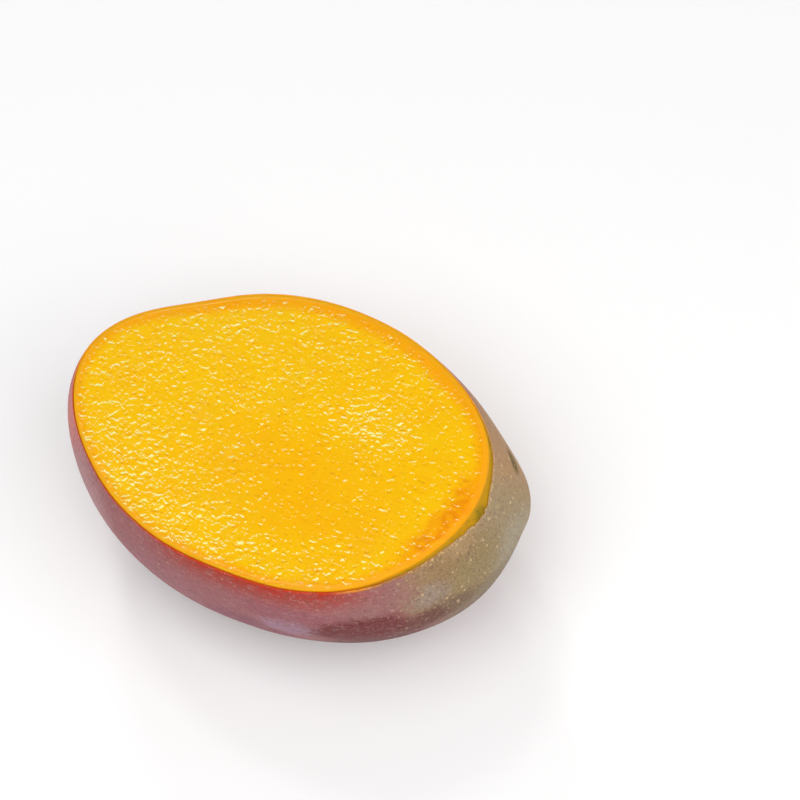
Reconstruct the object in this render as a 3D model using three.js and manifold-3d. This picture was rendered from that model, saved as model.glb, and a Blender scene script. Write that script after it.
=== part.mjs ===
// A mango lying on one cheek, with the other cheek sliced off to show the flesh.
// Millimetres, +Z up. The fruit lies along X, with its stalk end at -X and its nose at +X.
// The origin is the middle of the small flat spot on which the fruit rests.

import * as THREE from 'three';
import Module from 'manifold-3d';

// The whole fruit, before the cut: half sizes of the plain egg shape.
const HALF_LENGTH = 63.7;
const HALF_WIDTH = 43.7;
const HALF_THICKNESS = 43.3;

// The flat spot: how far up the cheek is flattened where it rests.
const FLAT_DEPTH = 1.0;

// The cut: its height over the middle of the fruit, and how much it climbs along X and Y.
const CUT_HEIGHT = 18.6;
const CUT_CLIMB_X = 0.104;
const CUT_CLIMB_Y = -0.049;

// The flesh is softened where it meets the skin: width of the rounding, and its drop.
const EDGE_WIDTH = 1.6;
const EDGE_DROP = 0.4;
const EDGE_STEPS = 3;

// Swells and hollows that turn the plain egg into this fruit. Azimuth is measured from +X
// toward +Y, elevation from the level plane, both in degrees from the middle of the fruit.
// Rise is in millimetres, below zero for a hollow, and spread is the width in degrees.
const SWELLS = [
  { place: 'nose', azimuth: 14, elevation: 4.5, rise: 3.0, spread: 7 },
  { place: 'stalk end', azimuth: 176, elevation: -2, rise: 4.3, spread: 15 },
  { place: 'hollow beside the stalk end', azimuth: 148, elevation: 14, rise: -1.6, spread: 9 },
  { place: 'near shoulder by the nose', azimuth: -51, elevation: 22, rise: 6.5, spread: 21 },
  { place: 'near shoulder by the stalk', azimuth: -109, elevation: 28, rise: 6.2, spread: 35 },
  { place: 'far shoulder', azimuth: 101, elevation: 25, rise: 1.8, spread: 30 },
  { place: 'stalk pit', azimuth: 180, elevation: -7, rise: -2.6, spread: 4.5 },
];

// Fineness of the skin and of the cut face.
const COLUMNS = 108;
const SKIN_ROWS = 30;
const FACE_RINGS = 5;

// A crossing search halves its range this many times.
const SEARCH_STEPS = 40;

// Surface of the cut flesh, as seen: saturated yellow and wet.
const FLESH_COLOUR = 0xf6b012;
const FLESH_ROUGHNESS = 0.4;

// Unit direction at a polar angle from straight down and an azimuth, both in radians.
function direction(polar, azimuth) {
  return new THREE.Vector3(
    Math.sin(polar) * Math.cos(azimuth),
    Math.sin(polar) * Math.sin(azimuth),
    -Math.cos(polar),
  );
}

// Unit direction at which a swell is centred.
function swellDirection(swell) {
  const azimuth = THREE.MathUtils.degToRad(swell.azimuth);
  const polar = THREE.MathUtils.degToRad(90 + swell.elevation);
  return direction(polar, azimuth);
}

const SWELL_CENTRES = SWELLS.map(swellDirection);

// Distance from the middle of the fruit to its skin, along a unit direction.
function skinRadius(unit) {
  const egg = Math.hypot(
    unit.x / HALF_LENGTH,
    unit.y / HALF_WIDTH,
    unit.z / HALF_THICKNESS,
  );
  let radius = 1 / egg;
  SWELLS.forEach((swell, index) => {
    const away = unit.angleTo(SWELL_CENTRES[index]);
    const widths = away / THREE.MathUtils.degToRad(swell.spread);
    radius += swell.rise * Math.exp(-0.5 * widths * widths);
  });
  return radius;
}

// Point of the skin at a polar angle and azimuth, from the middle of the fruit.
function skinPoint(polar, azimuth) {
  const unit = direction(polar, azimuth);
  return unit.multiplyScalar(skinRadius(unit));
}

// Height of the knife's plane over the middle of the fruit.
function cutHeight(x, y) {
  return CUT_HEIGHT + CUT_CLIMB_X * x + CUT_CLIMB_Y * y;
}

// Polar angle at which the skin meets the softened edge of the cut, for one azimuth.
function rimPolar(azimuth) {
  let low = 0;
  let high = Math.PI;
  for (let step = 0; step < SEARCH_STEPS; step += 1) {
    const middle = (low + high) / 2;
    const point = skinPoint(middle, azimuth);
    if (point.z > cutHeight(point.x, point.y) - EDGE_DROP) {
      high = middle;
    } else {
      low = middle;
    }
  }
  return (low + high) / 2;
}

// Rings of points up the skin, from just over the lowest point to the rim.
function skinRings() {
  const azimuths = Array.from({ length: COLUMNS }, (_, i) => (2 * Math.PI * i) / COLUMNS);
  const polars = azimuths.map(rimPolar);
  const rings = [];
  for (let row = 1; row <= SKIN_ROWS; row += 1) {
    const share = row / SKIN_ROWS;
    rings.push(azimuths.map((azimuth, i) => skinPoint(share * polars[i], azimuth)));
  }
  return rings;
}

// Rings of points across the cut: over the softened edge, then inward to the middle.
function faceRings(rim, middle) {
  const rings = [];
  for (let step = 1; step <= EDGE_STEPS; step += 1) {
    const turn = (Math.PI / 2) * (step / EDGE_STEPS);
    const inset = EDGE_WIDTH * (1 - Math.cos(turn));
    const drop = EDGE_DROP * (1 - Math.sin(turn));
    rings.push(rim.map((point) => facePoint(point, middle, inset, 1, drop)));
  }
  for (let ring = 1; ring < FACE_RINGS; ring += 1) {
    const share = 1 - ring / FACE_RINGS;
    rings.push(rim.map((point) => facePoint(point, middle, EDGE_WIDTH, share, 0)));
  }
  return rings;
}

// Point of the cut, stepped in from the rim and then drawn toward the middle.
function facePoint(rimPoint, middle, inset, share, drop) {
  const outward = rimPoint.clone().sub(middle).setZ(0);
  const reach = (outward.length() - inset) * share;
  outward.setLength(reach);
  const x = middle.x + outward.x;
  const y = middle.y + outward.y;
  return new THREE.Vector3(x, y, cutHeight(x, y) - drop);
}

// Average place of a ring of points.
function ringMiddle(ring) {
  const sum = ring.reduce((total, point) => total.add(point), new THREE.Vector3());
  return sum.divideScalar(ring.length);
}

// Corner numbers of the triangles of a surface closed by a point at each end.
function ringTriangles(ringCount) {
  const corners = [];
  const lastPole = ringCount * COLUMNS + 1;
  const at = (ring, column) => 1 + ring * COLUMNS + (column % COLUMNS);
  for (let column = 0; column < COLUMNS; column += 1) {
    corners.push(0, at(0, column + 1), at(0, column));
    for (let ring = 0; ring < ringCount - 1; ring += 1) {
      corners.push(at(ring, column), at(ring, column + 1), at(ring + 1, column + 1));
      corners.push(at(ring, column), at(ring + 1, column + 1), at(ring + 1, column));
    }
    corners.push(at(ringCount - 1, column), at(ringCount - 1, column + 1), lastPole);
  }
  return corners;
}

// The cut fruit as one closed solid, centred on the middle of the whole fruit.
function cutFruit(wasm) {
  const skin = skinRings();
  const rim = skin[skin.length - 1];
  const middle = ringMiddle(rim);
  middle.z = cutHeight(middle.x, middle.y);
  const rings = [...skin, ...faceRings(rim, middle)];
  const points = [skinPoint(0, 0), ...rings.flat(), middle];
  const mesh = new wasm.Mesh({
    numProp: 3,
    vertProperties: new Float32Array(points.flatMap((point) => point.toArray())),
    triVerts: new Uint32Array(ringTriangles(rings.length)),
  });
  return new wasm.Manifold(mesh);
}

// The fruit flattened where it rests, and moved so that it stands on the ground plane.
function restingFruit(wasm) {
  const ground = FLAT_DEPTH - HALF_THICKNESS;
  const flattened = cutFruit(wasm).trimByPlane([0, 0, 1], ground);
  return flattened.translate([0, 0, -ground]);
}

// A three.js geometry with the corners and faces of a solid.
function toGeometry(solid) {
  const mesh = solid.getMesh();
  const geometry = new THREE.BufferGeometry();
  geometry.setAttribute('position', new THREE.BufferAttribute(mesh.vertProperties, 3));
  geometry.setIndex(new THREE.BufferAttribute(mesh.triVerts, 1));
  geometry.computeVertexNormals();
  return geometry;
}

const wasm = await Module();
wasm.setup();

const flesh = new THREE.MeshStandardMaterial({
  color: FLESH_COLOUR,
  roughness: FLESH_ROUGHNESS,
  metalness: 0,
});
const mango = new THREE.Mesh(toGeometry(restingFruit(wasm)), flesh);
mango.name = 'mango';

const part = new THREE.Group();
part.add(mango);

export default part;
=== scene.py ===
"""A mango lying on one cheek, with the other cheek sliced off, dressed for its photograph.

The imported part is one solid. Two meshes take its place here: the skin, and the cut flesh
that fills it. Both follow the formula that the solid was made by, so they keep its size,
but for a slight tip and notch at the nose, and the thin edge where the skin is torn.
Sizes named in millimetres are turned into metres where a mesh or a light is made.
"""

import logging
import math
from dataclasses import dataclass, field
from enum import Enum

import bpy
import numpy as np
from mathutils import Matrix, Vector, noise


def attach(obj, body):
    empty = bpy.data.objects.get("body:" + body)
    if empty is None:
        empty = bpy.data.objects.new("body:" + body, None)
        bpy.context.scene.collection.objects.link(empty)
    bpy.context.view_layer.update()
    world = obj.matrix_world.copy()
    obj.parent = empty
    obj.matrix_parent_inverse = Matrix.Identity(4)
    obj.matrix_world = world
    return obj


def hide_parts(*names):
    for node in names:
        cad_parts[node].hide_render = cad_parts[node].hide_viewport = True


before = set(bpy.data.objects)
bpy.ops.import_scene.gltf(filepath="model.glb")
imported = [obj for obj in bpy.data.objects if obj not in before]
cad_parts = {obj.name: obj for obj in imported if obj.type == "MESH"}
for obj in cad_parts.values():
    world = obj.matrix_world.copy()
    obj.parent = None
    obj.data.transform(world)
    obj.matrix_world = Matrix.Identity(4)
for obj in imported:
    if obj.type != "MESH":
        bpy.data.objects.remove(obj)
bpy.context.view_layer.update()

MM = 0.001
NODE = "mango"
BODY = "root"

log = logging.getLogger("mango")


def paint(red: float, green: float, blue: float) -> tuple[float, float, float, float]:
    """A colour given as 0 to 255 screen values, as the linear colour that a shader takes."""
    return tuple(((part / 255 + 0.055) / 1.055) ** 2.4 for part in (red, green, blue)) + (1.0,)


# Form of the fruit, in which the last two swells are the nose's slight tip and notch


@dataclass(frozen=True)
class Swell:
    """A swell, or below zero a hollow, that turns the plain egg into this fruit.

    Azimuth is measured from +X toward +Y and elevation from the level plane, in degrees
    from the middle of the fruit. Rise is in millimetres and spread in degrees.
    """

    azimuth: float
    elevation: float
    rise: float
    spread: float

    def centre(self) -> np.ndarray:
        """Unit direction from the middle of the fruit to the middle of the swell."""
        azimuth, elevation = math.radians(self.azimuth), math.radians(self.elevation)
        level = math.cos(elevation)
        return np.array(
            [level * math.cos(azimuth), level * math.sin(azimuth), math.sin(elevation)]
        )

    def rise_at(self, units: np.ndarray) -> np.ndarray:
        """Millimetres that the swell adds to the radius along each unit direction."""
        away = np.degrees(np.arccos(np.clip(units @ self.centre(), -1, 1)))
        return self.rise * np.exp(-0.5 * (away / self.spread) ** 2)


NOSE = Swell(azimuth=14, elevation=4.5, rise=3.0, spread=7)
STALK_END = Swell(azimuth=176, elevation=-2, rise=4.3, spread=15)
STALK_HOLLOW = Swell(azimuth=148, elevation=14, rise=-1.6, spread=9)
NOSE_SHOULDER = Swell(azimuth=-51, elevation=22, rise=6.5, spread=21)
STALK_SHOULDER = Swell(azimuth=-109, elevation=28, rise=6.2, spread=35)
FAR_SHOULDER = Swell(azimuth=101, elevation=25, rise=1.8, spread=30)
STALK_PIT = Swell(azimuth=180, elevation=-7, rise=-2.6, spread=4.5)
NOSE_TIP = Swell(azimuth=8.5, elevation=3.5, rise=0.4, spread=2.4)
NOSE_NOTCH = Swell(azimuth=3.5, elevation=4, rise=-0.9, spread=2.5)


@dataclass(frozen=True)
class FruitForm:
    """The outer shape of the fruit and the plane of the cut, in millimetres.

    Points are measured from the middle of the whole fruit, before the cut.
    """

    half_length: float = 63.7
    half_width: float = 43.7
    half_thickness: float = 43.3
    flat_depth: float = 1.0
    cut_height: float = 18.6
    cut_climb_x: float = 0.104
    cut_climb_y: float = -0.049
    edge_width: float = 1.6
    edge_drop: float = 0.4
    lump_size: float = 17.0
    lump_rise: float = 0.28
    swells: tuple[Swell, ...] = (
        NOSE, STALK_END, STALK_HOLLOW, NOSE_SHOULDER, STALK_SHOULDER, FAR_SHOULDER, STALK_PIT,
        NOSE_TIP, NOSE_NOTCH,
    )

    @property
    def ground(self) -> float:
        """Height of the flat spot, from the middle of the fruit."""
        return self.flat_depth - self.half_thickness

    def directions(self, polar: np.ndarray, azimuth: np.ndarray) -> np.ndarray:
        """Unit directions at polar angles from straight down and azimuths, in radians."""
        level = np.sin(polar)
        return np.stack(
            [level * np.cos(azimuth), level * np.sin(azimuth), -np.cos(polar)], axis=-1
        )

    def radius(self, units: np.ndarray) -> np.ndarray:
        """Distance from the middle of the fruit to its smooth skin along unit directions."""
        halves = np.array([self.half_length, self.half_width, self.half_thickness])
        egg = 1 / np.linalg.norm(units / halves, axis=-1)
        return egg + sum(swell.rise_at(units) for swell in self.swells)

    def surface(self, polar: np.ndarray, azimuth: np.ndarray, inset: float = 0.0) -> np.ndarray:
        """Points of the skin, or of a layer a little inside it.

        Args:
            polar: angles from straight down, in radians.
            azimuth: angles from +X toward +Y, in radians.
            inset: millimetres that the layer lies inside the skin.

        Returns:
            One point for each pair of angles, with the flat spot pressed in.
        """
        units = self.directions(polar, azimuth)
        lumps = grain(units * self.half_width, self.lump_size, seed=3) * self.lump_rise
        points = units * (self.radius(units) + lumps - inset)[..., None]
        points[..., 2] = np.maximum(points[..., 2], self.ground)
        return points

    def cut_at(self, x: np.ndarray, y: np.ndarray) -> np.ndarray:
        """Height of the knife's plane over the middle of the fruit."""
        return self.cut_height + self.cut_climb_x * x + self.cut_climb_y * y

    def polar_under_cut(self, azimuth: np.ndarray, drop: np.ndarray) -> np.ndarray:
        """Polar angles at which the skin lies a drop under the plane of the cut.

        Args:
            azimuth: angles from +X toward +Y, in radians.
            drop: millimetres below the plane, one for each azimuth.

        Returns:
            One polar angle in radians for each azimuth.
        """
        low, high = np.zeros_like(azimuth), np.full_like(azimuth, math.pi)
        for _ in range(30):
            middle = (low + high) / 2
            units = self.directions(middle, azimuth)
            points = units * self.radius(units)[:, None]
            above = points[:, 2] > self.cut_at(points[:, 0], points[:, 1]) - drop
            high = np.where(above, middle, high)
            low = np.where(above, low, middle)
        return (low + high) / 2


def grain(points: np.ndarray, size: float | tuple[float, float, float], seed: int) -> np.ndarray:
    """Smooth noise between about -1 and 1 at each point.

    Args:
        points: places in millimetres, with x, y and z last.
        size: millimetres from one bump to the next, or one for each axis.
        seed: a whole number that picks the pattern.

    Returns:
        An array with one value for each point.
    """
    shift = np.array([31.7, 17.3, 53.1]) * seed
    scaled = points.reshape(-1, 3) / np.array(size) + shift
    values = np.fromiter((noise.noise(place) for place in scaled), float, len(scaled))
    return values.reshape(points.shape[:-1])


def soft_step(value: np.ndarray, low: float, high: float) -> np.ndarray:
    """0 below low, 1 above high, and a smooth climb between them."""
    share = np.clip((value - low) / (high - low), 0, 1)
    return share * share * (3 - 2 * share)


# Meshes


class DiscGrid:
    """A square net drawn onto a disc, whose cells stay of nearly even size."""

    def __init__(self, side: int) -> None:
        """Lay out the net.

        Args:
            side: how many cells the net has along each side, an even number.
        """
        self.side = side
        line = np.linspace(-1, 1, side + 1)
        across, along = np.meshgrid(line, line)
        self.share = np.maximum(abs(across), abs(along)).ravel()
        self.angle = self._angles(across, along).ravel()
        self.faces = self._faces()
        self.border = self._border()

    def _angles(self, across: np.ndarray, along: np.ndarray) -> np.ndarray:
        """Angle on the disc of each corner of the net.

        Args:
            across: places of the corners from left to right, -1 to 1.
            along: places of the corners from near to far, -1 to 1.

        Returns:
            One angle in radians for each corner.
        """
        wide = abs(across) >= abs(along)
        safe_across = np.where(across == 0, 1, across)
        safe_along = np.where(along == 0, 1, along)
        in_wide = math.pi / 4 * along / safe_across
        in_tall = math.pi / 2 - math.pi / 4 * across / safe_along
        turned = np.where(wide, in_wide, in_tall)
        behind = np.where(wide, across < 0, along < 0)
        return turned + math.pi * behind

    def _faces(self) -> np.ndarray:
        """Corner numbers of each cell, anticlockwise seen from over the net."""
        row = self.side + 1
        first = (np.arange(self.side)[:, None] * row + np.arange(self.side)).ravel()
        return np.stack([first, first + 1, first + row + 1, first + row], axis=1)

    def _border(self) -> np.ndarray:
        """Corner numbers round the outside, anticlockwise seen from over the net."""
        row = self.side + 1
        along = np.arange(self.side)
        near = along
        right = along * row + self.side
        far = self.side * row + self.side - along
        left = (self.side - along) * row
        return np.concatenate([near, right, far, left])


def skirt_faces(border: np.ndarray, rings: int, first: int) -> np.ndarray:
    """Cells that carry a net on past its border.

    Args:
        border: corner numbers round the net.
        rings: how many more rings of corners there are.
        first: number of the first corner of the first ring.

    Returns:
        Four corner numbers for each cell, wound as the net's own cells are.
    """
    count = len(border)
    loops = [border] + [first + ring * count + np.arange(count) for ring in range(rings)]
    faces = []
    for inner, outer in zip(loops, loops[1:]):
        faces.append(np.stack([inner, outer, np.roll(outer, -1), np.roll(inner, -1)], axis=1))
    return np.concatenate(faces)


def make_piece(
    name: str, points: np.ndarray, faces: np.ndarray, values: dict[str, np.ndarray]
) -> bpy.types.Object:
    """A smooth mesh object from points in millimetres.

    Args:
        name: the name of the piece.
        points: corners, from the middle of the fruit.
        faces: corner numbers of each four-sided cell.
        values: numbers kept on the corners for the shader, by name.

    Returns:
        The new object, standing on the ground plane and riding on the part's body.
    """
    placed = (points - np.array([0, 0, FORM.ground])) * MM
    mesh = bpy.data.meshes.new(name)
    mesh.vertices.add(len(placed))
    mesh.vertices.foreach_set("co", placed.astype(np.float32).ravel())
    mesh.loops.add(faces.size)
    mesh.loops.foreach_set("vertex_index", faces.astype(np.int32).ravel())
    mesh.polygons.add(len(faces))
    mesh.polygons.foreach_set("loop_start", np.arange(0, faces.size, 4, dtype=np.int32))
    mesh.update(calc_edges=True)
    mesh.validate()
    mesh.polygons.foreach_set("use_smooth", np.ones(len(faces), dtype=bool))
    for label, numbers in values.items():
        layer = mesh.attributes.new(label, "FLOAT", "POINT")
        layer.data.foreach_set("value", numbers.astype(np.float32))
    piece = bpy.data.objects.new(name, mesh)
    bpy.context.collection.objects.link(piece)
    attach(piece, BODY)
    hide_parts(NODE)
    log.info("%s: %d corners, %d cells", name, len(points), len(faces))
    return piece


# Shader maths


@dataclass(frozen=True)
class Zone:
    """An egg-shaped zone of the fruit that fades out round its edge.

    The middle and the reach, half its size along X, Y and Z, are in millimetres. Soft is the
    share of the reach over which it fades.
    """

    middle: tuple[float, float, float]
    reach: tuple[float, float, float]
    soft: float = 0.5


class Wire:
    """A socket of a shader node that takes part in Python arithmetic."""

    def __init__(self, desk: "ShaderDesk", socket: bpy.types.NodeSocket) -> None:
        """Hold an output socket and the desk that its node lies on."""
        self.desk = desk
        self.socket = socket

    def _math(self, operation: str, *values: "Wire | float") -> "Wire":
        """The result of a Math node on these values."""
        return self.desk.node("ShaderNodeMath", {"operation": operation}, dict(enumerate(values)))

    def __add__(self, other: "Wire | float") -> "Wire":
        """Sum of two values."""
        return self._math("ADD", self, other)

    __radd__ = __add__

    def __sub__(self, other: "Wire | float") -> "Wire":
        """This value less another."""
        return self._math("SUBTRACT", self, other)

    def __rsub__(self, other: float) -> "Wire":
        """A number less this value."""
        return self._math("SUBTRACT", other, self)

    def __mul__(self, other: "Wire | float") -> "Wire":
        """Product of two values."""
        return self._math("MULTIPLY", self, other)

    __rmul__ = __mul__

    def least(self, other: "Wire | float") -> "Wire":
        """The smaller of two values."""
        return self._math("MINIMUM", self, other)

    def step(self, low: float, high: float) -> "Wire":
        """0 below low, 1 above high, and a smooth climb between; low may be the larger."""
        if low > high:
            return 1 - self.step(high, low)
        return self.desk.node(
            "ShaderNodeMapRange",
            {"interpolation_type": "SMOOTHSTEP"},
            {"Value": self, "From Min": low, "From Max": high},
        )


class ShaderDesk:
    """The nodes of one material."""

    def __init__(self, name: str) -> None:
        """Start a material with its surface shader."""
        self.material = bpy.data.materials.new(name)
        self.material.use_nodes = True
        self.tree = self.material.node_tree
        self.shader = self.tree.nodes["Principled BSDF"]

    def node(
        self, kind: str, settings: dict[str, object], sockets: dict[str | int, object],
        output: str | int = 0,
    ) -> Wire:
        """Add a node.

        Args:
            kind: Blender's name for the type of node.
            settings: the node's own settings, set first.
            sockets: a value or a wire for each input, by its name or number.
            output: the output to hand back, by its name or number.

        Returns:
            A wire from that output.
        """
        made = self.tree.nodes.new(kind)
        for label, value in settings.items():
            setattr(made, label, value)
        for label, value in sockets.items():
            self._feed(made.inputs[label], value)
        return Wire(self, made.outputs[output])

    def _feed(self, socket: bpy.types.NodeSocket, value: object) -> None:
        """Give an input its value or its link."""
        if isinstance(value, Wire):
            self.tree.links.new(value.socket, socket)
        else:
            socket.default_value = value

    def finish(self, **sockets: object) -> bpy.types.Material:
        """Set the surface shader's inputs, named with _ for a space, and return the material."""
        for label, value in sockets.items():
            self._feed(self.shader.inputs[label.replace("_", " ")], value)
        return self.material

    def place(self) -> Wire:
        """Where a point of the surface is, in millimetres from the middle of the fruit."""
        seen = self.node("ShaderNodeTexCoord", {}, {}, "Object")
        grown = self.node(
            "ShaderNodeVectorMath", {"operation": "SCALE"}, {0: seen, "Scale": 1 / MM}
        )
        return self.shifted(grown, (0, 0, FORM.ground))

    def along(self, place: Wire, axis: str) -> Wire:
        """One part, X, Y or Z, of a place."""
        return self.node("ShaderNodeSeparateXYZ", {}, {0: place}, axis)

    def stored(self, label: str) -> Wire:
        """A number kept on the corners of the mesh."""
        return self.node("ShaderNodeAttribute", {"attribute_name": label}, {}, "Fac")

    def shifted(self, place: Wire, step: Wire | tuple[float, float, float]) -> Wire:
        """A place moved by a step."""
        return self.node("ShaderNodeVectorMath", {"operation": "ADD"}, {0: place, 1: step})

    def stretched(self, place: Wire, size: tuple[float, float, float]) -> Wire:
        """A place measured in cells of the given sizes along X, Y and Z."""
        return self.node("ShaderNodeVectorMath", {"operation": "DIVIDE"}, {0: place, 1: size})

    def pushed(self, place: Wire, size: float, reach: float) -> Wire:
        """A place moved about by noise, so that an edge drawn by it wanders.

        Args:
            place: the place to move.
            size: millimetres from one bend to the next.
            reach: how far it is moved at most, in millimetres.

        Returns:
            The moved place.
        """
        swirl = self.node(
            "ShaderNodeTexNoise", {}, {"Vector": place, "Scale": 1 / size, "Detail": 3.0}, "Color"
        )
        centred = self.node(
            "ShaderNodeVectorMath", {"operation": "SUBTRACT"}, {0: swirl, 1: (0.5, 0.5, 0.5)}
        )
        scaled = self.node(
            "ShaderNodeVectorMath", {"operation": "SCALE"}, {0: centred, "Scale": 2 * reach}
        )
        return self.shifted(place, scaled)

    def noise(self, place: Wire, size: float, detail: float = 2.0, bend: float = 0.0) -> Wire:
        """Smooth noise from 0 to 1.

        Args:
            place: where it is read.
            size: distance from one bump to the next.
            detail: how many finer layers are added.
            bend: how much the pattern is twisted.

        Returns:
            A value around 0.5.
        """
        return self.node(
            "ShaderNodeTexNoise", {},
            {"Vector": place, "Scale": 1 / size, "Detail": detail, "Distortion": bend},
        )

    def patch(self, place: Wire, zone: Zone) -> Wire:
        """A mask that is 1 inside a zone and fades out round it.

        Args:
            place: where it is read, in millimetres.
            zone: the zone.

        Returns:
            A value from 0 to 1.
        """
        moved = self.node(
            "ShaderNodeVectorMath", {"operation": "SUBTRACT"}, {0: place, 1: zone.middle}
        )
        away = self.node(
            "ShaderNodeVectorMath", {"operation": "LENGTH"},
            {0: self.stretched(moved, zone.reach)}, "Value",
        )
        return away.step(1 + zone.soft, 1 - zone.soft)

    def blend(self, under: object, over: object, share: Wire | float) -> Wire:
        """One colour laid over another, by a share from 0 to 1."""
        return self.node(
            "ShaderNodeMix", {"data_type": "RGBA"}, {"Factor": share, 6: under, 7: over}, 2
        )

    def bump(self, height: Wire) -> Wire:
        """A normal that follows a height given in millimetres."""
        return self.node("ShaderNodeBump", {}, {"Height": height, "Distance": MM})


# Finishes


@dataclass(frozen=True)
class WetFlesh:
    """Ripe yellow flesh, cut and wet: glistening ripples with painted glints and painted shade on
    their flanks, inside a smooth orange edge.

    Sizes are in millimetres. A gap is how far a point lies in from the edge of the cut.
    """

    yellow: tuple = paint(251, 195, 0)
    deep_yellow: tuple = paint(251, 185, 0)
    orange: tuple = paint(243, 150, 0)
    deep_orange: tuple = paint(232, 138, 0)
    rim_orange: tuple = paint(250, 166, 0)
    side_orange: tuple = paint(244, 150, 0)
    ochre: tuple = paint(206, 152, 6)
    olive: tuple = paint(150, 122, 16)
    # A pale cream for the glints painted on the climbing flank of each ripple.
    painted_glint: tuple = paint(255, 250, 182)
    # A darker orange for the shade painted on the falling flank of each ripple.
    painted_flank_shade: tuple = paint(224, 152, 0)
    roughness: float = 0.035
    edge_roughness: float = 0.6
    specular: float = 0.2
    ripple_turn: float = -8.0
    ripple_length: float = 1.65
    ripple_width: float = 1.3
    ripple_height: float = 0.13
    flank_step: tuple[float, float, float] = (0.3, -0.44, 0.0)
    painted_glint_share: float = 0.85
    painted_flank_shade_share: float = 0.6
    clump_size: float = 5.0
    cloud_size: float = 9.0
    fibre_cell: tuple[float, float, float] = (7.0, 1.3, 1.3)
    deep_middle: Zone = Zone((8, -16, 19), (26, 15, 30), 0.6)
    calm_middle: Zone = Zone((7, -16, 19), (26, 16, 30), 0.6)
    calm_nose: Zone = Zone((50, 2, 24), (20, 34, 30), 0.4)
    lively_stalk_end: Zone = Zone((-36, -40, 16), (44, 26, 30))
    lively_band: Zone = Zone((20, 8, 20), (12, 8, 30))
    nose_edge: Zone = Zone((49, -11, 23), (9, 14, 14))
    green_spot: Zone = Zone((56, -3, 20.5), (3, 2.6, 2.6))
    glow_depth: float = 0.0024
    glow_colour: tuple[float, float, float] = (1.0, 0.5, 0.08)

    def ripples(self, desk: ShaderDesk, place: Wire) -> Wire:
        """Noise from 0 to 1, stretched along the fibres of the fruit.

        Args:
            desk: where the nodes go.
            place: point of the surface, in millimetres.

        Returns:
            A value from 0 to 1.
        """
        turned = desk.node(
            "ShaderNodeVectorRotate", {"rotation_type": "Z_AXIS"},
            {"Vector": place, "Angle": math.radians(-self.ripple_turn)},
        )
        cell = (self.ripple_length, self.ripple_width, self.ripple_width)
        return desk.noise(desk.stretched(turned, cell), 1.0, detail=2.0, bend=0.6)

    def crowd(self, desk: ShaderDesk, place: Wire) -> Wire:
        """How lively the ripples and their painted glints are: least in the middle, most by the
        stalk end.

        Args:
            desk: where the nodes go.
            place: point of the surface, in millimetres.

        Returns:
            A value that is about 1 where they are of common height.
        """
        clumps = desk.noise(place, self.clump_size, detail=2.0).step(0.35, 0.65) * 0.5
        lively = desk.patch(place, self.lively_stalk_end) * 0.6
        lively = lively + desk.patch(place, self.lively_band) * 0.6
        calm = desk.patch(place, self.calm_middle) * 0.6
        calm = calm + desk.patch(place, self.calm_nose) * 0.35
        return clumps + lively - calm + 0.58

    def painted_flank_light(self, desk: ShaderDesk, place: Wire, tint: Wire, share: Wire) -> Wire:
        """The colour with a painted glint on one flank of each ripple and painted shade on the
        other.

        Args:
            desk: where the nodes go.
            place: point of the surface, in millimetres.
            tint: colour of the flesh between the ripples.
            share: strength of the painted glints and painted shade, 0 where the flesh is smooth.

        Returns:
            A colour wire.
        """
        beside = desk.shifted(place, self.flank_step)
        climb = self.ripples(desk, beside) - self.ripples(desk, place)
        # Painted glints on the flanks that climb, painted shade on the flanks that fall.
        lit = (climb + self.crowd(desk, place) * 0.095).step(0.165, 0.325)
        shaded = climb.step(-0.1, -0.25)
        tint = desk.blend(tint, self.painted_flank_shade, shaded * share * self.painted_flank_shade_share)
        return desk.blend(tint, self.painted_glint, lit * share * self.painted_glint_share)

    def colour(self, desk: ShaderDesk, place: Wire, gap: Wire) -> Wire:
        """Colour of the flesh.

        Args:
            desk: where the nodes go.
            place: point of the surface, in millimetres.
            gap: millimetres in from the edge of the cut, below zero down its side.

        Returns:
            A colour wire.
        """
        wandering = desk.pushed(place, size=14.0, reach=7.0)
        middle = desk.patch(wandering, self.deep_middle)
        clouds = desk.noise(place, self.cloud_size, detail=3.0).step(0.4, 0.7)
        deep = (middle * 0.7 + clouds * 0.45).least(1.0)
        tint = desk.blend(self.yellow, self.deep_yellow, deep)
        fibre = desk.noise(desk.stretched(place, self.fibre_cell), 1.0, detail=3.0)
        tint = desk.blend(tint, self.orange, fibre.step(0.56, 0.8) * 0.3)
        by_nose = desk.along(place, "X").step(28, 46)
        far = desk.along(place, "Y").step(-10, 30) * (1 - by_nose * 0.6)
        tint = desk.blend(tint, self.rim_orange, (gap - far * 2.5).step(4.2, 0.4) * 0.85)
        tint = desk.blend(tint, self.deep_orange, self.nose_streak(desk, place, gap, fibre))
        # Painted glints and painted shade on the flanks of the ripples.
        tint = self.painted_flank_light(desk, place, tint, (gap - far * 1.4).step(0.5, 1.4))
        return desk.blend(tint, self.side_colour(desk, place, fibre), gap.step(-0.1, -0.7))

    def nose_streak(self, desk: ShaderDesk, place: Wire, gap: Wire, fibre: Wire) -> Wire:
        """Mask of the mottled orange band that runs along the edge by the nose.

        Args:
            desk: where the nodes go.
            place: point of the surface, in millimetres.
            gap: millimetres in from the edge of the cut, below zero down its side.
            fibre: noise stretched along the fruit.

        Returns:
            A mask from 0 to 1.
        """
        away = gap + desk.noise(place, 4.0, detail=3.0) * 4.0 - 2.0
        band = away.step(0.2, 2.4) * away.step(8.5, 4.5)
        mottle = desk.noise(place, 2.2, detail=3.0).step(0.35, 0.65) * 0.35
        uneven = fibre.step(0.35, 0.65) * 0.2 + mottle + 0.35
        return band * desk.patch(place, self.nose_edge) * uneven

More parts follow.
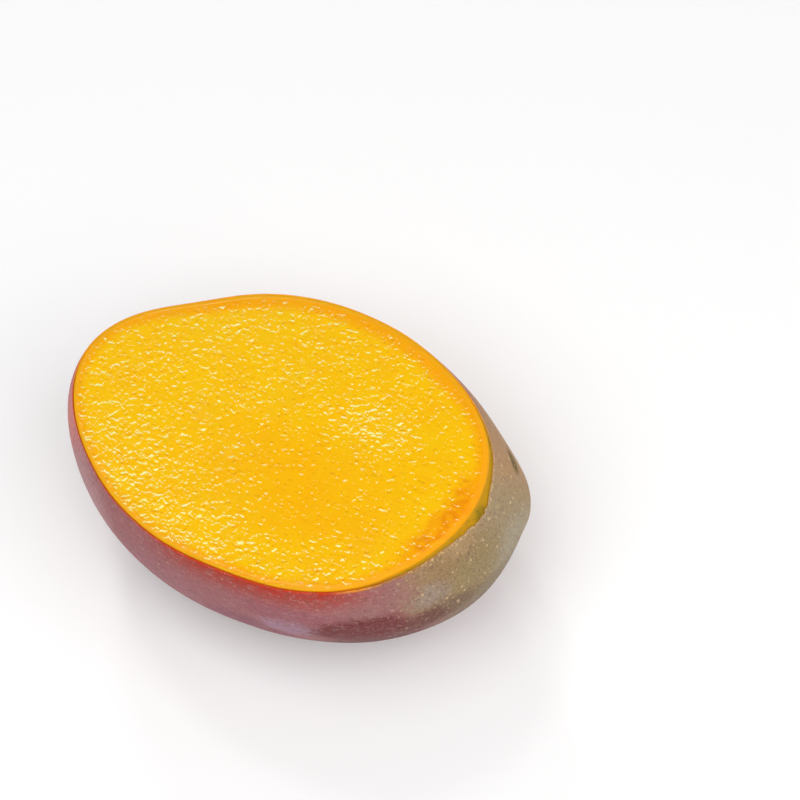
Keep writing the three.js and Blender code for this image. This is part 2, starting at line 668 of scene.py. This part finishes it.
    def side_colour(self, desk: ShaderDesk, place: Wire, fibre: Wire) -> Wire:
        """Colour of the side under the cut: orange, but ochre and olive by the nose.

        Args:
            desk: where the nodes go.
            place: point of the surface, in millimetres.
            fibre: noise stretched along the fruit.

        Returns:
            A colour wire.
        """
        green = desk.patch(place, self.green_spot) * 0.8 + fibre.step(0.5, 0.7) * 0.4
        by_nose = desk.blend(self.ochre, self.olive, green.least(1.0))
        return desk.blend(self.side_orange, by_nose, desk.along(place, "X").step(26, 40))

    def relief(self, desk: ShaderDesk, place: Wire, gap: Wire) -> Wire:
        """Height of the ripples in millimetres, from none at the smooth edge."""
        crests = self.ripples(desk, place).step(0.58, 0.85)
        return crests * self.crowd(desk, place) * gap.step(0.5, 2.0) * self.ripple_height

    def make(self) -> bpy.types.Material:
        """The finished material."""
        desk = ShaderDesk("wet_flesh")
        place, gap = desk.place(), desk.stored("edge_gap")
        rougher = self.edge_roughness - self.roughness
        return desk.finish(
            Base_Color=self.colour(desk, place, gap),
            Roughness=gap.step(1.6, 0.9) * rougher + self.roughness,
            Normal=desk.bump(self.relief(desk, place, gap)),
            Specular_IOR_Level=self.specular,
            Subsurface_Weight=1.0,
            Subsurface_Radius=self.glow_colour,
            Subsurface_Scale=self.glow_depth,
        )


@dataclass(frozen=True)
class Blush:
    """A soft-edged zone of one colour on the skin."""

    tint: tuple
    zone: Zone
    strength: float


PINK_TIP = Blush(paint(217, 130, 125), Zone((-66, -12, 12), (22, 19, 16)), 0.9)
LEFT_BLOOM = Blush(paint(190, 144, 147), Zone((-48, -33, 0), (16, 10, 14)), 0.8)
LOW_LEFT_ROSE = Blush(paint(163, 104, 112), Zone((-16, -47, 3), (14, 10, 7)), 0.8)
LOW_SHADE = Blush(paint(138, 72, 93), Zone((9, -47, -2), (12, 9, 6)), 0.7)
ROSE_SHADE = Blush(paint(156, 93, 102), Zone((20, -46, 12), (14, 8, 4)), 0.8)
PLUM_BELLY = Blush(paint(116, 70, 88), Zone((22, -38, -18), (20, 14, 10)), 0.85)
MAROON_BELLY = Blush(paint(105, 56, 56), Zone((40, -34, -10), (16, 14, 13), 0.4), 0.9)
DUSKY_BELLY = Blush(paint(133, 114, 92), Zone((62, -14, -8), (12, 18, 13), 0.4), 0.9)
OLIVE_NOSE = Blush(paint(168, 147, 112), Zone((68, 12, 14), (21, 34, 22), 0.3), 1.0)
OLIVE_SIDE = Blush(paint(153, 124, 84), Zone((54, -20, 14), (12, 15, 14), 0.4), 0.95)
PEACH_EDGE = Blush(paint(186, 145, 104), Zone((50, 20, 20), (9, 15, 8)), 0.85)
NOSE_SHEEN = Blush(paint(172, 160, 136), Zone((64, 1, 6), (5, 10, 7)), 0.8)
LAVENDER = Blush(paint(168, 128, 146), Zone((22, -47, 5), (8, 8, 4.5)), 0.9)
PINK_BEIGE = Blush(paint(160, 130, 92), Zone((48, -27, 18), (6, 8, 6)), 0.85)
PALE_RISE = Blush(paint(156, 108, 106), Zone((41, -36, 18), (10, 10, 7)), 0.85)
GREY_BEIGE = Blush(paint(158, 140, 127), Zone((52, -26, 13), (6, 6, 4), 0.6), 0.8)
MOSS = Blush(paint(155, 137, 94), Zone((60, -14, 12), (7, 10, 7), 0.6), 0.75)
GOLD_EDGE = Blush(paint(180, 150, 106), Zone((54, -12, 23), (6, 8, 4)), 0.7)
DARK_STREAK = Blush(paint(110, 90, 26), Zone((55.6, 19, 13.2), (4.2, 3.6, 1.4), 0.4), 0.9)
STALK_SCAR = Blush(paint(104, 76, 52), Zone((-66, 0, -8), (4, 3.2, 3.2), 0.25), 0.9)
GREY_SHEEN = Blush(paint(145, 130, 100), Zone((64, -11, 0), (8, 8, 4)), 0.8)
WIPED_BROWN = Blush(paint(125, 101, 78), Zone((57, -23, 4), (8, 8, 5), 0.35), 0.95)
WIPED_TAIL = Blush(paint(110, 61, 51), Zone((51, -30, 3), (8, 8, 5.5), 0.4), 0.9)
WIPED_RED = Blush(paint(118, 49, 52), Zone((39, -40, 6), (13.5, 11, 7.5), 0.25), 1.0)
UNDERSIDE = Blush(paint(104, 62, 70), Zone((0, -26, -42), (60, 30, 26), 0.45), 0.85)
FAR_CHEEK = Blush(paint(222, 150, 100), Zone((-6, 54, 0), (52, 38, 34), 0.4), 0.95)
FAR_NOSE = Blush(paint(196, 152, 104), Zone((54, 32, 2), (22, 18, 28)), 0.9)
BLUSHES = (
    PINK_TIP, LEFT_BLOOM, LOW_LEFT_ROSE, OLIVE_NOSE, FAR_CHEEK, FAR_NOSE, UNDERSIDE, LOW_SHADE,
    ROSE_SHADE, PLUM_BELLY, MAROON_BELLY, DUSKY_BELLY, OLIVE_SIDE, PEACH_EDGE, NOSE_SHEEN,
    LAVENDER, PINK_BEIGE, PALE_RISE, GREY_BEIGE, MOSS, GOLD_EDGE, GREY_SHEEN, WIPED_BROWN,
    WIPED_TAIL, WIPED_RED,
)
MARKS = (DARK_STREAK, STALK_SCAR)


@dataclass(frozen=True)
class RipeSkin:
    """Thin smooth skin: red and mauve by the stalk, olive at the nose, under a waxy bloom."""

    mauve: tuple = paint(162, 100, 103)
    rose: tuple = paint(168, 68, 58)
    red: tuple = paint(204, 60, 6)
    deep_red: tuple = paint(178, 48, 34)
    edge_ochre: tuple = paint(166, 116, 30)
    edge_red: tuple = paint(186, 68, 8)
    edge_orange: tuple = paint(240, 160, 6)
    edge_tan: tuple = paint(184, 136, 80)
    shade: tuple = paint(112, 84, 76)
    light: tuple = paint(196, 170, 164)
    cream: tuple = paint(224, 192, 146)
    blush_spot: tuple = paint(214, 160, 132)
    brown: tuple = paint(104, 76, 52)
    frayed: tuple = paint(216, 180, 128)
    roughness: float = 0.55
    specular: float = 0.1
    stroke: tuple[float, float, float] = (0.86, 0.1, -0.5)
    stroke_tilt: float = -30.0
    stroke_cell: tuple[float, float, float] = (8.0, 1.2, 1.2)
    stroke_reach: float = 12.0
    rosy_zone: Zone = Zone((11, -44, 20), (28, 22, 18), 0.4)
    red_zone: Zone = Zone((11, -44, 22), (24, 16, 14), 0.4)
    line_zone: Zone = Zone((5, -36, 20), (53, 34, 20), 0.15)
    torn_zone: Zone = Zone((52, -17, 22), (11, 9, 5), 0.4)
    bloom_cell: tuple[float, float, float] = (3.0, 1.2, 0.8)
    speckle_size: float = 0.55
    mottle_cell: tuple[float, float, float] = (1.2, 0.8, 0.8)
    thread_cell: tuple[float, float, float] = (0.6, 0.6, 1.4)
    pore_size: float = 0.9
    relief: float = 0.03

    def brushed(self, desk: ShaderDesk, place: Wire) -> Wire:
        """A place moved to and fro along the strokes that a hand left in the bloom.

        Args:
            desk: where the nodes go.
            place: point of the surface, in millimetres.

        Returns:
            The moved place.
        """
        turned = desk.node(
            "ShaderNodeVectorRotate", {"rotation_type": "Y_AXIS"},
            {"Vector": place, "Angle": math.radians(self.stroke_tilt)},
        )
        streaks = desk.noise(desk.stretched(turned, self.stroke_cell), 1.0, detail=3.0) - 0.5
        slide = desk.node(
            "ShaderNodeVectorMath", {"operation": "SCALE"},
            {0: self.stroke, "Scale": streaks * self.stroke_reach},
        )
        return desk.shifted(place, slide)

    def blushed(
        self, desk: ShaderDesk, place: Wire, tint: Wire | tuple, blushes: tuple[Blush, ...]
    ) -> Wire:
        """A colour with blushes laid over it, one after the other.

        Args:
            desk: where the nodes go.
            place: point of the surface, in millimetres.
            tint: the colour under them.
            blushes: what is laid over it, the lowest first.

        Returns:
            A colour wire.
        """
        for blush in blushes:
            share = desk.patch(place, blush.zone) * blush.strength
            tint = desk.blend(tint, blush.tint, share)
        return tint

    def ground_colour(self, desk: ShaderDesk, place: Wire, gap: Wire) -> Wire:
        """Colour of the skin itself, before its bloom and spots.

        Args:
            desk: where the nodes go.
            place: point of the surface, in millimetres.
            gap: millimetres down from the edge of the skin.

        Returns:
            A colour wire.
        """
        brushed = self.brushed(desk, desk.pushed(place, size=9.0, reach=2.4))
        tint = self.blushed(desk, brushed, self.mauve, BLUSHES)
        near = desk.patch(place, self.rosy_zone)
        tint = desk.blend(tint, self.rose, gap.step(9.0, 2.0) * near * 0.9)
        glow = desk.patch(place, self.red_zone)
        ragged = gap + desk.noise(place, 3.0, detail=3.0) * 3.0 - 1.5
        tint = desk.blend(tint, self.deep_red, ragged.step(3.4, 0.3) * glow * 0.85)
        tint = self.edge_line(desk, place, gap, tint)
        return self.blushed(desk, desk.pushed(place, size=2.5, reach=0.5), tint, MARKS)

    def edge_line(self, desk: ShaderDesk, place: Wire, gap: Wire, tint: Wire) -> Wire:
        """The colour with a thin bright line along the edge: red, then orange, then ochre.

        Args:
            desk: where the nodes go.
            place: point of the surface, in millimetres.
            gap: millimetres down from the edge of the skin.
            tint: colour of the skin.

        Returns:
            A colour wire.
        """
        along = desk.along(place, "X")
        line_tint = desk.blend(self.red, self.edge_orange, along.step(30, 37))
        line_tint = desk.blend(line_tint, self.edge_ochre, along.step(37, 43))
        faint = 0.8 - along.step(-12, -32) * 0.35
        line = gap.step(1.0, 0.2) * desk.patch(place, self.line_zone) * faint
        return desk.blend(tint, line_tint, line)

    def bloom(self, desk: ShaderDesk, place: Wire, tint: Wire) -> Wire:
        """The colour under fine brushed bloom and small darker mottles.

        Args:
            desk: where the nodes go.
            place: point of the surface, in millimetres.
            tint: colour of the skin.

        Returns:
            A colour wire.
        """
        strokes = desk.noise(desk.stretched(place, self.bloom_cell), 1.0, detail=4.0)
        speckle = desk.noise(place, self.speckle_size, detail=2.0)
        dusty = strokes.step(0.4, 0.75) * speckle.step(0.4, 0.65) * 0.38
        tint = desk.blend(tint, self.light, dusty)
        mottle = desk.noise(desk.stretched(place, self.mottle_cell), 1.0, detail=4.0)
        strength = desk.along(place, "Y").step(20, -5) * 0.25 + 0.3
        return desk.blend(tint, self.shade, mottle.step(0.46, 0.75) * strength)

    def spots(self, desk: ShaderDesk, place: Wire, every: float, size: float, share: float) -> Wire:
        """Small uneven spots.

        Args:
            desk: where the nodes go.
            place: point of the surface, in millimetres.
            every: millimetres from one spot to the next.
            size: radius of the largest spot, in millimetres.
            share: how many of the places hold a spot, from 0 to 1.

        Returns:
            A mask that is 1 inside a spot.
        """
        settings = {"Vector": desk.pushed(place, 1.0, 0.2), "Scale": 1 / every}
        away = desk.node("ShaderNodeTexVoronoi", {}, settings, "Distance")
        chance = desk.node("ShaderNodeTexVoronoi", {}, settings, "Color")
        luck = desk.along(chance, "X")
        bigness = desk.along(chance, "Y") * 0.6 + 0.4
        here = luck.step(share, share - 0.05)
        inside = away - bigness * (size / every)
        return inside.step(0.13 / every, -0.2 / every) * here

    def make(self) -> bpy.types.Material:
        """The finished material."""
        desk = ShaderDesk("ripe_skin")
        place, gap = desk.place(), desk.stored("edge_gap")
        tint = self.bloom(desk, place, self.ground_colour(desk, place, gap))
        olive = desk.along(place, "X").step(38, 52)
        far = desk.along(place, "Y").step(4, 26)
        lit_side = (olive + far).least(1.0)
        fine_pale = self.spots(desk, place, every=1.3, size=0.34, share=0.85)
        tint = desk.blend(tint, self.cream, fine_pale * lit_side * 0.42)
        pale = self.spots(desk, place, every=2.3, size=0.5, share=0.9)
        tint = desk.blend(tint, self.cream, pale * lit_side * 0.62)
        rosy = self.spots(desk, place, every=2.6, size=0.32, share=0.7)
        tint = desk.blend(tint, self.blush_spot, rosy * (1 - lit_side) * 0.55)
        flat_place = desk.stretched(place, (1.0, 1.0, 1.8))
        marks = self.spots(desk, flat_place, every=9.0, size=0.6, share=0.3)
        tint = desk.blend(tint, self.brown, marks * 0.6)
        tint = self.cut_edge(desk, place, gap, tint, olive)
        pores = desk.noise(place, self.pore_size, detail=2.0)
        return desk.finish(
            Base_Color=tint,
            Roughness=self.roughness,
            Normal=desk.bump(pores * self.relief + (pale + rosy) * self.relief),
            Specular_IOR_Level=self.specular,
        )

    def cut_edge(
        self, desk: ShaderDesk, place: Wire, gap: Wire, tint: Wire, olive: Wire
    ) -> Wire:
        """The colour with frayed threads along the torn edge, and its thickness laid bare.

        Args:
            desk: where the nodes go.
            place: point of the surface, in millimetres.
            gap: millimetres down from the edge of the skin, below zero across its thickness.
            tint: colour of the skin.
            olive: 1 in the olive part by the nose, 0 in the red part.

        Returns:
            A colour wire.
        """
        threads = desk.noise(desk.stretched(place, self.thread_cell), 1.0, detail=3.0)
        torn = desk.patch(place, self.torn_zone) * gap.step(1.5, 0.2) * 0.8
        fuzz = gap.step(1.0, 0.1) * olive * 0.6
        fray = threads.step(0.48, 0.66) * (torn + fuzz).least(1.0)
        tint = desk.blend(tint, self.frayed, fray)
        far = desk.along(place, "Y").step(-14, 2)
        cut_tint = desk.blend(self.edge_red, self.edge_orange, far)
        cut_tint = desk.blend(cut_tint, self.edge_tan, olive)
        return desk.blend(tint, cut_tint, gap.step(0.02, -0.1))


# Sub-assemblies


@dataclass(frozen=True)
class Tear:
    """A stretch where the skin ends lower: azimuth and spread in degrees, drop in mm."""

    azimuth: float
    drop: float
    spread: float

    def drop_at(self, azimuth: np.ndarray) -> np.ndarray:
        """Millimetres that the tear adds at each azimuth, given in radians."""
        away = np.degrees(np.angle(np.exp(1j * (azimuth - math.radians(self.azimuth)))))
        return self.drop * np.exp(-0.5 * (away / self.spread) ** 2)


@dataclass
class SkinEdge:
    """Where the skin ends under the cut: close to it all round, but torn lower by the nose."""

    thickness: float = 0.42
    drop: float = 0.4
    tears: tuple[Tear, ...] = (
        Tear(-32, 0.9, 12), Tear(-12, 1.1, 10), Tear(-3, 2.1, 5.5), Tear(13, 1.35, 10),
    )
    ragged: float = 0.16

    def drop_at(self, azimuth: np.ndarray) -> np.ndarray:
        """Millimetres from the plane of the cut down to the edge of the skin.

        Args:
            azimuth: angles from +X toward +Y, in radians.

        Returns:
            One drop for each azimuth.
        """
        torn = sum(tear.drop_at(azimuth) for tear in self.tears)
        ring = np.stack([np.cos(azimuth), np.sin(azimuth), np.zeros_like(azimuth)], -1) * 50
        teeth = grain(ring, 1.6, seed=5) + 0.7 * grain(ring, 0.7, seed=6)
        return self.drop + torn * (1 + self.ragged * teeth)


@dataclass
class Skin:
    """The skin, from the flat spot up to its thin edge."""

    form: FruitForm
    edge: SkinEdge
    cells: int = 296
    tuck: float = 1.2
    finish: RipeSkin = field(default_factory=RipeSkin)

    def build(self) -> bpy.types.Object:
        """Make the mesh and dress it.

        Returns:
            The finished piece.
        """
        net = DiscGrid(self.cells)
        azimuth = net.angle
        top = self.form.polar_under_cut(azimuth, self.edge.drop_at(azimuth))
        polar = net.share * top
        outer = self.form.surface(polar, azimuth)
        gap = (top - polar) * np.linalg.norm(outer, axis=1)
        rim_azimuth, rim_polar = azimuth[net.border], polar[net.border]
        points, gaps = [outer], [gap]
        for inset, sunk in self._edge_profile():
            turn = sunk / self.form.half_width
            points.append(self.form.surface(rim_polar - turn, rim_azimuth, inset))
            gaps.append(np.full(len(rim_azimuth), -inset))
        faces = np.concatenate(
            [net.faces, skirt_faces(net.border, len(points) - 1, len(outer))]
        )
        piece = make_piece(
            "mango_skin", np.concatenate(points), faces[:, ::-1],
            {"edge_gap": np.concatenate(gaps)},
        )
        piece.data.materials.append(self.finish.make())
        return piece

    def _edge_profile(self) -> list[tuple[float, float]]:
        """Inset from the outside and depth below the edge of each ring past the edge."""
        thick = self.edge.thickness
        return [(thick * 0.3, -0.04), (thick * 0.7, -0.02), (thick, 0.1), (thick, self.tuck)]


@dataclass
class Flesh:
    """The cut flesh: its rippled face, its rounded edge and its side down to the skin."""

    form: FruitForm
    edge: SkinEdge
    cells: int = 284
    edge_rings: int = 6
    side_rings: int = 6
    tuck: float = 0.9
    ripple: float = 0.02
    swell: float = 0.1
    finish: WetFlesh = field(default_factory=WetFlesh)

    def build(self) -> bpy.types.Object:
        """Make the mesh and dress it.

        Returns:
            The finished piece.
        """
        net = DiscGrid(self.cells)
        rim, middle = self._rim(net.angle)
        face, face_gap = self._face(net, rim, middle)
        border = net.border
        points, gaps = [face], [face_gap]
        for ring in self._edge(rim[border], middle):
            points.append(ring[0])
            gaps.append(ring[1])
        for ring in self._side(net.angle[border]):
            points.append(ring[0])
            gaps.append(ring[1])
        faces = np.concatenate([net.faces, skirt_faces(border, len(points) - 1, len(face))])
        piece = make_piece(
            "mango_flesh", np.concatenate(points), faces, {"edge_gap": np.concatenate(gaps)}
        )
        piece.data.materials.append(self.finish.make())
        return piece

    def _rim(self, azimuth: np.ndarray) -> tuple[np.ndarray, np.ndarray]:
        """Top of the flesh's side at each azimuth, and the middle of the cut.

        Args:
            azimuth: angles from +X toward +Y, in radians.

        Returns:
            The points of the side's top, and the one point in the middle.
        """
        drop = np.full_like(azimuth, self.form.edge_drop)
        polar = self.form.polar_under_cut(azimuth, drop)
        rim = self.form.surface(polar, azimuth, self.edge.thickness)
        turn = np.linspace(0, 2 * math.pi, 360, endpoint=False)
        ring = self.form.surface(
            self.form.polar_under_cut(turn, np.zeros_like(turn)), turn
        )
        return rim, ring.mean(axis=0)

    def _on_cut(self, flat: np.ndarray) -> np.ndarray:
        """Points of the knife's plane over flat places given as x and y."""
        height = self.form.cut_at(flat[:, 0], flat[:, 1])
        return np.column_stack([flat, height])

    def _face(
        self, net: DiscGrid, rim: np.ndarray, middle: np.ndarray
    ) -> tuple[np.ndarray, np.ndarray]:
        """Points of the rippled face, and how far each lies in from the edge.

        Args:
            net: the net that the face is drawn on.
            rim: top of the flesh's side, toward each corner of the net.
            middle: middle of the cut.

        Returns:
            The points, and the millimetres in from the edge.
        """
        spokes = rim[:, :2] - middle[:2]
        reach = np.linalg.norm(spokes, axis=1)
        inner = (reach - self.form.edge_width) * net.share
        points = self._on_cut(middle[:2] + spokes * (inner / reach)[:, None])
        gap = reach - inner
        calm = soft_step(gap, self.form.edge_width, 4.0)
        ripples = grain(points, (2.6, 1.5, 1.5), seed=11) * self.ripple
        waves = grain(points, (11.0, 6.0, 8.0), seed=12) * self.swell
        points[:, 2] += (ripples + waves) * calm
        return points, gap

    def _edge(self, rim: np.ndarray, middle: np.ndarray) -> list[tuple[np.ndarray, np.ndarray]]:
        """Rings that round the flesh over from its face to its side.

        Args:
            rim: top of the flesh's side all round.
            middle: middle of the cut.

        Returns:
            For each ring its points, and how far they lie in from the edge.
        """
        spokes = rim[:, :2] - middle[:2]
        reach = np.linalg.norm(spokes, axis=1)
        rings = []
        for step in range(1, self.edge_rings + 1):
            turn = math.pi / 2 * step / self.edge_rings
            inset = self.form.edge_width * (1 - math.sin(turn))
            points = self._on_cut(middle[:2] + spokes * ((reach - inset) / reach)[:, None])
            points[:, 2] -= self.form.edge_drop * (1 - math.cos(turn))
            rings.append((points, np.full(len(rim), inset)))
        return rings

    def _side(self, azimuth: np.ndarray) -> list[tuple[np.ndarray, np.ndarray]]:
        """Rings down the side of the flesh, to just under the edge of the skin.

        Args:
            azimuth: angles from +X toward +Y, in radians.

        Returns:
            For each ring its points, and how far below the edge they lie, as less than zero.
        """
        lowest = self.edge.drop_at(azimuth) + self.tuck
        rings = []
        for step in range(1, self.side_rings + 1):
            drop = self.form.edge_drop + (lowest - self.form.edge_drop) * step / self.side_rings
            polar = self.form.polar_under_cut(azimuth, drop)
            points = self.form.surface(polar, azimuth, self.edge.thickness)
            rings.append((points, self.form.edge_drop - drop))
        return rings


# Studio


class Side(Enum):
    """Directions round the fruit, as the azimuth from which one looks."""

    CAMERA = 25.4
    FAR_LEFT = 232.0
    FAR = 220.0
    RIGHT = 75.0


def outward(azimuth: float, elevation: float) -> Vector:
    """Unit vector back toward a viewer at an azimuth and elevation in degrees."""
    turn, lift = math.radians(azimuth), math.radians(elevation)
    level = math.cos(lift)
    return Vector((math.sin(turn) * level, -math.cos(turn) * level, math.sin(lift)))


@dataclass(frozen=True)
class SoftBox:
    """A square lamp that faces the fruit."""

    name: str
    azimuth: float
    elevation: float
    distance: float
    side: float
    brightness: float

    def build(self) -> None:
        """Hang the lamp. Brightness is what its face would measure, with white paper at 1."""
        lamp = bpy.data.lights.new(self.name, "AREA")
        lamp.shape = "SQUARE"
        lamp.size = self.side
        lamp.energy = self.brightness * math.pi * self.side**2
        box = bpy.data.objects.new(self.name, lamp)
        bpy.context.collection.objects.link(box)
        back = outward(self.azimuth, self.elevation)
        box.location = Vector((0, 0, 0.04)) + back * self.distance
        box.rotation_mode = "QUATERNION"
        box.rotation_quaternion = (-back).to_track_quat("-Z", "Y")


@dataclass
class Studio:
    """White floor, soft lamps and the camera."""

    lens: float = 100.0
    distance: float = 0.62
    elevation: float = 60.0
    aim: tuple[float, float] = (0.0168, 0.0300)
    floor_side: float = 6.0
    floor_colour: tuple = (0.96, 0.96, 0.96, 1.0)
    sky: float = 0.28

    def build(self) -> None:
        """Set up all of it."""
        self._floor()
        self._sky()
        self._camera()
        for box in (
            SoftBox("low_glint_lamp", Side.FAR.value, 37, 2.5, 0.31, 16.0),
            SoftBox("high_glint_lamp", Side.FAR_LEFT.value, 61, 2.5, 0.31, 16.0),
            SoftBox("main_lamp", Side.CAMERA.value - 30, 66, 1.6, 1.3, 2.95),
            SoftBox("side_lamp", Side.RIGHT.value, 50, 1.6, 1.2, 2.0),
        ):
            box.build()
        bpy.context.scene.view_settings.view_transform = "Standard"

    def _floor(self) -> None:
        """Lay the pale floor."""
        half = self.floor_side / 2
        corners = [(-half, -half, 0), (half, -half, 0), (half, half, 0), (-half, half, 0)]
        mesh = bpy.data.meshes.new("floor")
        mesh.from_pydata(corners, [], [(0, 1, 2, 3)])
        floor = bpy.data.objects.new("floor", mesh)
        bpy.context.collection.objects.link(floor)
        desk = ShaderDesk("pale_floor")
        mesh.materials.append(desk.finish(Base_Color=self.floor_colour, Roughness=0.9))

    def _sky(self) -> None:
        """Fill the room with even light."""
        world = bpy.data.worlds.new("room")
        world.use_nodes = True
        world.node_tree.nodes["Background"].inputs["Color"].default_value = (1, 1, 1, 1)
        world.node_tree.nodes["Background"].inputs["Strength"].default_value = self.sky
        bpy.context.scene.world = world

    def _camera(self) -> None:
        """Aim the camera as the photograph was taken."""
        camera = bpy.data.objects.new("camera", bpy.data.cameras.new("camera"))
        bpy.context.collection.objects.link(camera)
        camera.data.lens = self.lens
        camera.data.sensor_width = 36.0
        aim = Vector((*self.aim, -FORM.ground * MM))
        back = outward(Side.CAMERA.value, self.elevation)
        camera.location = aim + back * self.distance
        camera.rotation_mode = "QUATERNION"
        camera.rotation_quaternion = (-back).to_track_quat("-Z", "Y")
        bpy.context.scene.camera = camera


FORM = FruitForm()


def main() -> None:
    """Build the studio and the fruit."""
    logging.basicConfig(level=logging.INFO, format="%(message)s")
    Studio().build()
    edge = SkinEdge()
    Skin(FORM, edge).build()
    Flesh(FORM, edge).build()


if __name__ == "__main__":
    main()
